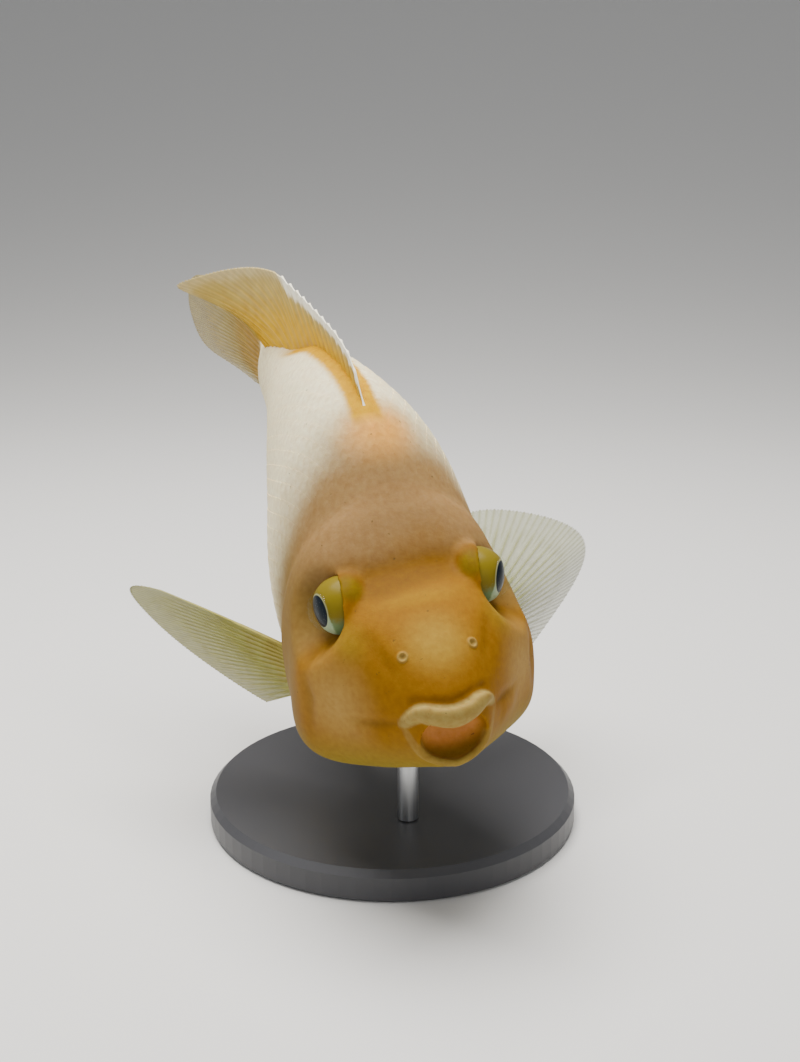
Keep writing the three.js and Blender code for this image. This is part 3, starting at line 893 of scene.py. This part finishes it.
def addNode(tree, kind, options, values, output=0):
    node = tree.nodes.new(kind)
    for key, value in options.items():
        setattr(node, key, value)
    for key, value in values.items():
        if isinstance(value, Wire):
            tree.links.new(value.socket, node.inputs[key])
        else:
            node.inputs[key].default_value = value
    return Wire(tree, node.outputs[output]) if node.outputs else None


def maths(tree, operation, *values):
    return addNode(tree, "ShaderNodeMath", {"operation": operation}, dict(enumerate(values)))


def vectors(tree, operation, *values, output=0):
    return addNode(tree, "ShaderNodeVectorMath", {"operation": operation}, dict(enumerate(values)), output)


def newMaterial(name):
    material = bpy.data.materials.new(name)
    material.use_nodes = True
    tree = material.node_tree
    tree.nodes.clear()
    return material, tree


def surface(tree, values):
    shader = addNode(tree, "ShaderNodeBsdfPrincipled", {}, values)
    addNode(tree, "ShaderNodeOutputMaterial", {}, {"Surface": shader})


def blend(tree, factor, first, second, how="MIX"):
    return addNode(tree, "ShaderNodeMix", {"data_type": "RGBA", "blend_type": how},
                   {0: factor, 6: first, 7: second}, output=2)


def rgba(r, g, b):
    return (r, g, b, 1)


def step(tree, value, low, high):
    return addNode(tree, "ShaderNodeMapRange", {"interpolation_type": "SMOOTHSTEP"},
                   {"Value": value, "From Min": low, "From Max": high})


def noise(tree, place, scale, detail):
    return addNode(tree, "ShaderNodeTexNoise", {}, {"Vector": place, "Scale": scale, "Detail": detail})


def bumps(tree, height, strength, distance):
    return addNode(tree, "ShaderNodeBump", {},
                   {"Strength": strength, "Distance": distance, "Height": height})


def number(tree, name):
    return addNode(tree, "ShaderNodeAttribute", {"attribute_name": name}, {}, output=2)


def straightPlace(tree):
    place = addNode(tree, "ShaderNodeAttribute", {"attribute_name": "straight"}, {}, output=1)
    split = addNode(tree, "ShaderNodeSeparateXYZ", {}, {0: place})
    return place, [Wire(tree, socket) for socket in split.socket.node.outputs]


def objectPlace(tree):
    return addNode(tree, "ShaderNodeTexCoord", {}, {}, output="Object")


def spot(tree, place, middle, radii, soft):
    # 1 in the middle of an ellipsoid, 0 outside it
    away = vectors(tree, "DIVIDE", vectors(tree, "SUBTRACT", place, middle), radii)
    return 1 - step(tree, vectors(tree, "LENGTH", away, output=1), 1 - soft, 1)


tones = {
    "face": rgba(0.24, 0.107, 0.005),
    "hump": rgba(0.295, 0.175, 0.067),
    "shoulder": rgba(0.90, 0.80, 0.52),
    "peach": rgba(0.75, 0.34, 0.055),
    "gold": rgba(0.60, 0.31, 0.0005),
    # painted shade for the dent of the brow and for the folds of the face
    "dentShade": rgba(0.15, 0.067, 0.004),
    # painted highlight where the ledge under the dent catches the light
    "ledgeHighlight": rgba(0.30, 0.155, 0.006),
    "nose": rgba(0.305, 0.182, 0.022),
    "lip": rgba(0.295, 0.213, 0.06),
    "inside": rgba(0.56, 0.24, 0.06),
    "cheek": rgba(0.385, 0.242, 0.068),
    "flank": rgba(0.21, 0.126, 0.031),
    "chin": rgba(0.215, 0.16, 0.02),
    "underEye": rgba(0.27, 0.175, 0.013),
    "overEye": rgba(0.15, 0.092, 0.001),
    # dark specks, and the painted shade in the nostrils' pits
    "fleck": rgba(0.06, 0.04, 0.015),
    "irisTop": rgba(0.17, 0.125, 0.01),
    "irisLow": rgba(0.13, 0.20, 0.09),
    "irisEdge": rgba(0.42, 0.44, 0.26),
    "silver": rgba(0.36, 0.46, 0.28),
    "silverDark": rgba(0.25, 0.33, 0.20),
    "pupil": rgba(0.004, 0.008, 0.014),
}


# Where the tones begin and end, as (from, to) in millimetres
bands = {
    "hump": (30, 40),
    "flank": (30, 38),
    "flankTop": (10, 26),
    "shoulder": (50, 68),
    "ridgeStart": (57, 61),
    "ridgeEnd": (112, 132),
    "ridgeLevel": (32, 36),
    "ridgeSide": (2.6, 4.6),
    "chin": (-14, 0),
    # where the painted shade of the dent begins and ends
    "dentStart": (23.6, 29.4),
    "dentEnd": (30.5, 36),
}
# Patches as (tone, middle, radii, softness, strength), laid in this order
patches = {
    "nape": [("peach", (2, 57, 44), (15, 12, 11), 0.9, 0.9)],
    "front": [
        ("nose", (0, 12, 14), (11, 12, 8), 0.9, 1),
        # painted highlight along the ledge under the dent
        ("ledgeHighlight", (0, 23.6, 18.4), (15, 3.6, 3.4), 0.9, 0.8),
    ],
    "eachCheek": [
        ("cheek", (21.5, 19, -1.5), (14, 15, 17), 1, 0.8),
        ("underEye", (15.5, 22, 11), (7, 8, 6), 0.9, 0.85),
    ],
    "overEachEye": [
        # painted shade of the dent round the mound over each eye
        ("dentShade", (14.5, 33, 23), (6, 5, 5), 0.8, 0.9),
        ("overEye", (14.2, 29.4, 20.6), (4.2, 4.8, 4.2), 0.6, 1),
    ],
    "mouth": [("inside", (0, 4, -3), (7.8, 6.6, 5.6), 0.35, 1)],
    "eachNostril": [
        ("lip", nostrilAt(1), (1.7, 1.7, 1.7), 0.5, 0.7),
        # painted shade in the nostril's pit
        ("fleck", nostrilAt(1), (0.62, 0.62, 0.62), 0.6, 1),
    ],
}
# where the painted shade of the dent lies
dentPatch = {"middle": (0, 29.5, 21), "radii": (19, 9, 7), "soft": 0.45}


def layPatches(tree, place, colour, key, hands=(1,)):
    for hand in hands:
        for tone, (x, y, z), radii, soft, strength in patches[key]:
            share = spot(tree, place, (hand * x, y, z), radii, soft) * strength
            colour = blend(tree, share, colour, tones[tone])
    return colour


def skinMaterial():
    material, tree = newMaterial("fish skin")
    place, (across, station, level) = straightPlace(tree)
    mottle = noise(tree, place, 0.7, 5.0)
    wander = (noise(tree, place, 0.09, 3.0) - 0.5) * 10

    def band(value, key):
        return step(tree, value, *bands[key])

    # from the face back to the shoulder, and the gold stripe of the ridge
    colour = blend(tree, band(station + wander, "hump"), tones["face"], tones["hump"])
    flank = band(station + (level - 12) * -0.25 + wander * 0.3, "flank") * (1 - band(level, "flankTop"))
    colour = blend(tree, flank, colour, tones["flank"])
    colour = blend(tree, band(station + wander * 0.7, "shoulder"), colour, tones["shoulder"])
    colour = layPatches(tree, place, colour, "nape")
    ridge = band(station, "ridgeStart") * (1 - band(station, "ridgeEnd")) * band(level, "ridgeLevel")
    beside = maths(tree, "ABSOLUTE", across + (mottle - 0.5) * 1.4)
    colour = blend(tree, ridge * (1 - band(beside, "ridgeSide")), colour, tones["gold"])
    # the face, from the nose and the cheeks to the dent of the brow, with a painted highlight on the ledge
    # and painted shade in the dent
    colour = layPatches(tree, place, colour, "front")
    colour = layPatches(tree, place, colour, "eachCheek", hands=(-1, 1))
    colour = blend(tree, 1 - band(level + station * 0.4, "chin"), colour, tones["chin"])
    # painted shade along the dent of the brow, behind the end of the face's plate
    plateEnd = station - across * 0.18 + (mottle - 0.5) * 1.5
    dentShade = spot(tree, place, **dentPatch) * band(plateEnd, "dentStart")
    colour = blend(tree, dentShade * (1 - band(station, "dentEnd")) * 0.9, colour, tones["dentShade"])
    # painted shade of the dent round each mound over an eye, then the mound's own tone
    colour = layPatches(tree, place, colour, "overEachEye", hands=(-1, 1))
    # painted shade in the sunken folds of the face, in the tone of the dent's shade
    colour = blend(tree, number(tree, "fold") * 0.4, colour, tones["dentShade"])
    colour = blend(tree, number(tree, "lip") * (0.7 + 0.5 * mottle), colour, tones["lip"])
    colour = layPatches(tree, place, colour, "mouth")
    # a pale ring round each nostril and painted shade in its pit
    colour = layPatches(tree, place, colour, "eachNostril", hands=(-1, 1))
    # mottling, the rims of the scales and dark specks
    cloudy = blend(tree, mottle, rgba(0.78, 0.68, 0.6), rgba(1.18, 1.22, 1.25))
    colour = blend(tree, 1.0, colour, cloudy, how="MULTIPLY")
    colour = blend(tree, number(tree, "rim") * 0.5, colour, rgba(0.86, 0.78, 0.66), how="MULTIPLY")
    specks = noise(tree, place, 0.62, 5.0)
    colour = blend(tree, step(tree, specks, 0.70, 0.74) * 0.6, colour, tones["fleck"])
    pores = noise(tree, place, 1.8, 4.0)
    surface(tree, {
        "Base Color": colour,
        "Roughness": mottle * 0.15 + 0.52,
        "Normal": bumps(tree, pores, 0.2, 0.0003),
        "Subsurface Weight": 0.1,
        "Subsurface Radius": (1.0, 0.4, 0.1),
        "Subsurface Scale": 0.003,
        "Specular IOR Level": 0.05,
    })
    return material


# "solid" is how far the root and the tip hide what is behind them
finPaints = {
    "dorsal_fin": {
        "root": rgba(0.68, 0.39, 0.002), "ray": rgba(0.62, 0.42, 0.08), "skin": rgba(0.60, 0.44, 0.10),
        "edge": rgba(0.98, 0.93, 0.76), "rootTo": 0.62, "solid": (1.0, 0.62), "rayGain": 0.3,
    },
    "anal_fin": {
        "root": rgba(0.60, 0.36, 0.04), "ray": rgba(0.55, 0.38, 0.08), "skin": rgba(0.55, 0.42, 0.10),
        "edge": rgba(0.70, 0.60, 0.35), "rootTo": 0.4, "solid": (0.95, 0.5), "rayGain": 0.3,
    },
    "tail_fin": {
        "root": rgba(0.42, 0.25, 0.05), "ray": rgba(0.34, 0.20, 0.05), "skin": rgba(0.46, 0.36, 0.09),
        "edge": rgba(0.50, 0.42, 0.15), "rootTo": 0.5, "solid": (0.95, 0.42), "rayGain": 0.3,
        "base": rgba(0.80, 0.68, 0.42),
    },
    "pectoral_fin_right": {
        "root": rgba(0.34, 0.27, 0.04), "ray": rgba(0.36, 0.31, 0.07), "skin": rgba(0.30, 0.29, 0.06),
        "edge": rgba(0.36, 0.34, 0.10), "rootTo": 0.3, "solid": (0.9, 0.62), "rayGain": 0.3,
    },
    "pectoral_fin_left": {
        "root": rgba(0.26, 0.24, 0.05), "ray": rgba(0.24, 0.24, 0.07), "skin": rgba(0.26, 0.27, 0.10),
        "edge": rgba(0.26, 0.27, 0.10), "rootTo": 0.3, "solid": (0.6, 0.34), "rayGain": 0.35,
    },
    "pelvic_fin": {
        "root": rgba(0.50, 0.32, 0.05), "ray": rgba(0.48, 0.36, 0.08), "skin": rgba(0.45, 0.36, 0.10),
        "edge": rgba(0.60, 0.52, 0.30), "rootTo": 0.3, "solid": (0.9, 0.5), "rayGain": 0.3,
    },
}


def finMaterial(name, paint):
    material, tree = newMaterial(name)
    crest, along, spiny = (number(tree, key) for key in ("crest", "along", "spiny"))
    streak = noise(tree, straightPlace(tree)[0], 0.35, 4.0)
    colour = blend(tree, crest * 0.8, paint["skin"], paint["ray"])
    root = 1 - step(tree, along + (streak - 0.5) * 0.25, paint["rootTo"] * 0.5, paint["rootTo"] * 1.4)
    colour = blend(tree, root, colour, paint["root"])
    if "base" in paint:
        base = 1 - step(tree, along + (streak - 0.5) * 0.1, 0.04, 0.16)
        colour = blend(tree, base, colour, paint["base"])
    tips = step(tree, along + crest * 0.06 + spiny * 0.1 + (streak - 0.5) * 0.12, 0.86, 0.98)
    colour = blend(tree, tips * (spiny * 0.8 + 0.2), colour, paint["edge"])
    streaks = blend(tree, streak, rgba(0.75, 0.7, 0.6), rgba(1.2, 1.25, 1.3))
    colour = blend(tree, 1.0, colour, streaks, how="MULTIPLY")
    near, far = paint["solid"]
    alpha = near + (far - near) * step(tree, along, 0.1, 0.95)
    alpha = alpha + crest * paint["rayGain"] + tips * spiny * 0.4
    surface(tree, {
        "Base Color": colour,
        "Roughness": 0.42 + streak * 0.1,
        "Alpha": maths(tree, "MINIMUM", alpha, 1.0),
        "Specular IOR Level": 0.25,
    })
    return material


# Rings of the eye: (level of the middle, radius of the even part, radius where it has faded)
irisRings = {
    "silver": (-1.5, 4.3, 4.8),
    "irisEdge": (0.4, 3.75, 4.1),
    "pupil": (0.4, 3.6, 3.73),
}


def eyeMaterial():
    material, tree = newMaterial("eye")
    place, (across, out, up) = straightPlace(tree)
    fleck = noise(tree, place, 1.6, 4.0)

    def ring(key, waver=0):
        level, even, faded = irisRings[key]
        away = vectors(tree, "MULTIPLY", vectors(tree, "SUBTRACT", place, (0, 0, level)), (1, 0, 1))
        return 1 - step(tree, vectors(tree, "LENGTH", away, output=1) + waver, even, faded)

    upper = step(tree, up + (fleck - 0.5) * 2, -1.5, 1.5)
    iris = blend(tree, upper, tones["irisLow"], tones["irisTop"])
    silver = blend(tree, fleck, tones["silver"], tones["silverDark"])
    iris = blend(tree, ring("silver", (fleck - 0.5) * 0.4), iris, silver)
    iris = blend(tree, ring("irisEdge") * 0.6, iris, tones["irisEdge"])
    colour = blend(tree, ring("pupil"), iris, tones["pupil"])
    surface(tree, {"Base Color": colour, "Roughness": 0.3, "Specular IOR Level": 0.06})
    return material


def corneaMaterial():
    material, tree = newMaterial("cornea")
    fresnel = addNode(tree, "ShaderNodeFresnel", {}, {"IOR": 1.34})
    clear = addNode(tree, "ShaderNodeBsdfTransparent", {}, {"Color": rgba(0.97, 0.98, 0.97)})
    gloss = addNode(tree, "ShaderNodeBsdfAnisotropic", {}, {"Color": rgba(1, 1, 1), "Roughness": 0.04})
    both = addNode(tree, "ShaderNodeMixShader", {}, {0: fresnel * 0.06, 1: clear, 2: gloss})
    addNode(tree, "ShaderNodeOutputMaterial", {}, {"Surface": both})
    return material


def standMaterial():
    material, tree = newMaterial("stand paint")
    grain = noise(tree, objectPlace(tree), 9000.0, 2.0)
    surface(tree, {
        "Base Color": rgba(0.05, 0.05, 0.055),
        "Roughness": grain * 0.1 + 0.35,
        "Normal": bumps(tree, grain, 0.1, 0.0002),
    })
    return material


def rodMaterial():
    material, tree = newMaterial("rod steel")
    grain = noise(tree, objectPlace(tree), 15000.0, 2.0)
    surface(tree, {"Base Color": rgba(0.6, 0.61, 0.62), "Metallic": 1.0, "Roughness": grain * 0.1 + 0.25})
    return material


def dress(piece, material, slotName, *nodes):
    piece.data.materials.clear()
    piece.data.materials.append(material)
    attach(piece, "root")
    if nodes:
        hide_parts(*nodes)


skinPaint = skinMaterial()
dress(skin, skinPaint, "skin", "head", "trunk", "tail_stalk")
for coat in coats.values():
    dress(coat, skinPaint, "skin")
finMaterials = {name: finMaterial(name.replace("_", " "), paint) for name, paint in finPaints.items()}
for name, piece in finPieces.items():
    dress(piece, finMaterials[name if name in finPaints else "pelvic_fin"], "fins", name)
eyePaints = {"ball": eyeMaterial(), "cornea": corneaMaterial()}
for (part, name), piece in eyePieces.items():
    dress(piece, eyePaints[part], "eyes", "eye_" + name)
standPaint, rodSteel = standMaterial(), rodMaterial()
standFinishes = {"stand_base": standPaint, "stand_rod_front": rodSteel, "stand_rod_rear": rodSteel}
for name, material in standFinishes.items():
    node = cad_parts[name]
    node.data.materials.clear()
    node.data.materials.append(material)

print("Setting the camera, lights and floor")
view = {
    "target": (0.002, -0.040, 0.088),
    "elevation": math.radians(15.5),
    "distance": 0.306,
    "focalPixels": 1380,
    "framePixels": (800, 1062),
    "sensorHeight": 24,
}


def addCamera():
    rise = view["elevation"]
    x, y, z = view["target"]
    place = (x, y - view["distance"] * math.cos(rise), z + view["distance"] * math.sin(rise))
    bpy.ops.object.camera_add(location=place, rotation=(math.pi / 2 - rise, 0, 0))
    camera = bpy.context.object
    camera.data.sensor_fit = "VERTICAL"
    camera.data.sensor_height = view["sensorHeight"]
    camera.data.lens = view["sensorHeight"] * view["focalPixels"] / view["framePixels"][1]
    bpy.context.scene.camera = camera


def addLight(name, place, target, size, power, tint):
    bpy.ops.object.light_add(type="AREA", location=place)
    light = bpy.context.object
    light.name = name
    light.data.shape = "RECTANGLE"
    light.data.size, light.data.size_y = size
    light.data.energy = power
    light.data.color = tint
    way = Vector(target) - Vector(place)
    light.rotation_euler = way.to_track_quat("-Z", "Y").to_euler()


lights = {
    "overhead": {"place": (-0.06, 0.06, 0.65), "target": (0, 0.0, 0.08), "size": (0.5, 0.5),
                 "power": 11.0, "tint": (1, 0.98, 0.95)},
    "front": {"place": (0.3, -0.7, 0.3), "target": (0, -0.03, 0.07), "size": (0.5, 0.5),
              "power": 0.9, "tint": (1, 0.99, 0.97)},
    "left side": {"place": (-0.6, -0.2, 0.3), "target": (0, 0, 0.07), "size": (0.4, 0.4),
                  "power": 0.5, "tint": (0.95, 0.98, 1)},
}
studio = {"air": rgba(0.9, 0.92, 0.95), "airStrength": 0.4, "floor": rgba(0.72, 0.71, 0.69), "matt": 0.8}
sweep = {"half": 4, "front": -2, "bend": 0.5, "radius": 2.2, "height": 3}


def addBackdrop():
    # a floor that bends up behind the fish, so that no edge of it shows from the front
    flat = sweep["bend"] - sweep["front"]
    quarter = math.pi / 2 * sweep["radius"]

    def place(u, v):
        run = v * (flat + quarter + sweep["height"])
        turn = np.clip((run - flat) / sweep["radius"], 0, math.pi / 2)
        up = np.maximum(run - flat - quarter, 0)
        y = sweep["front"] + np.minimum(run, flat) + sweep["radius"] * np.sin(turn)
        z = sweep["radius"] * (1 - np.cos(turn)) + up
        return np.stack([(u - 0.5) * 2 * sweep["half"], y, z], 1)

    return newGrid("backdrop", 4, 120, place)


addCamera()
for name, settings in lights.items():
    addLight(name, **settings)
world = bpy.data.worlds.new("studio")
bpy.context.scene.world = world
world.use_nodes = True
air = world.node_tree.nodes["Background"].inputs
air["Color"].default_value = studio["air"]
air["Strength"].default_value = studio["airStrength"]

backdrop = addBackdrop()
smoothShade(backdrop)
floorPaint, floorTree = newMaterial("floor")
surface(floorTree, {"Base Color": studio["floor"], "Roughness": studio["matt"]})
backdrop.data.materials.append(floorPaint)
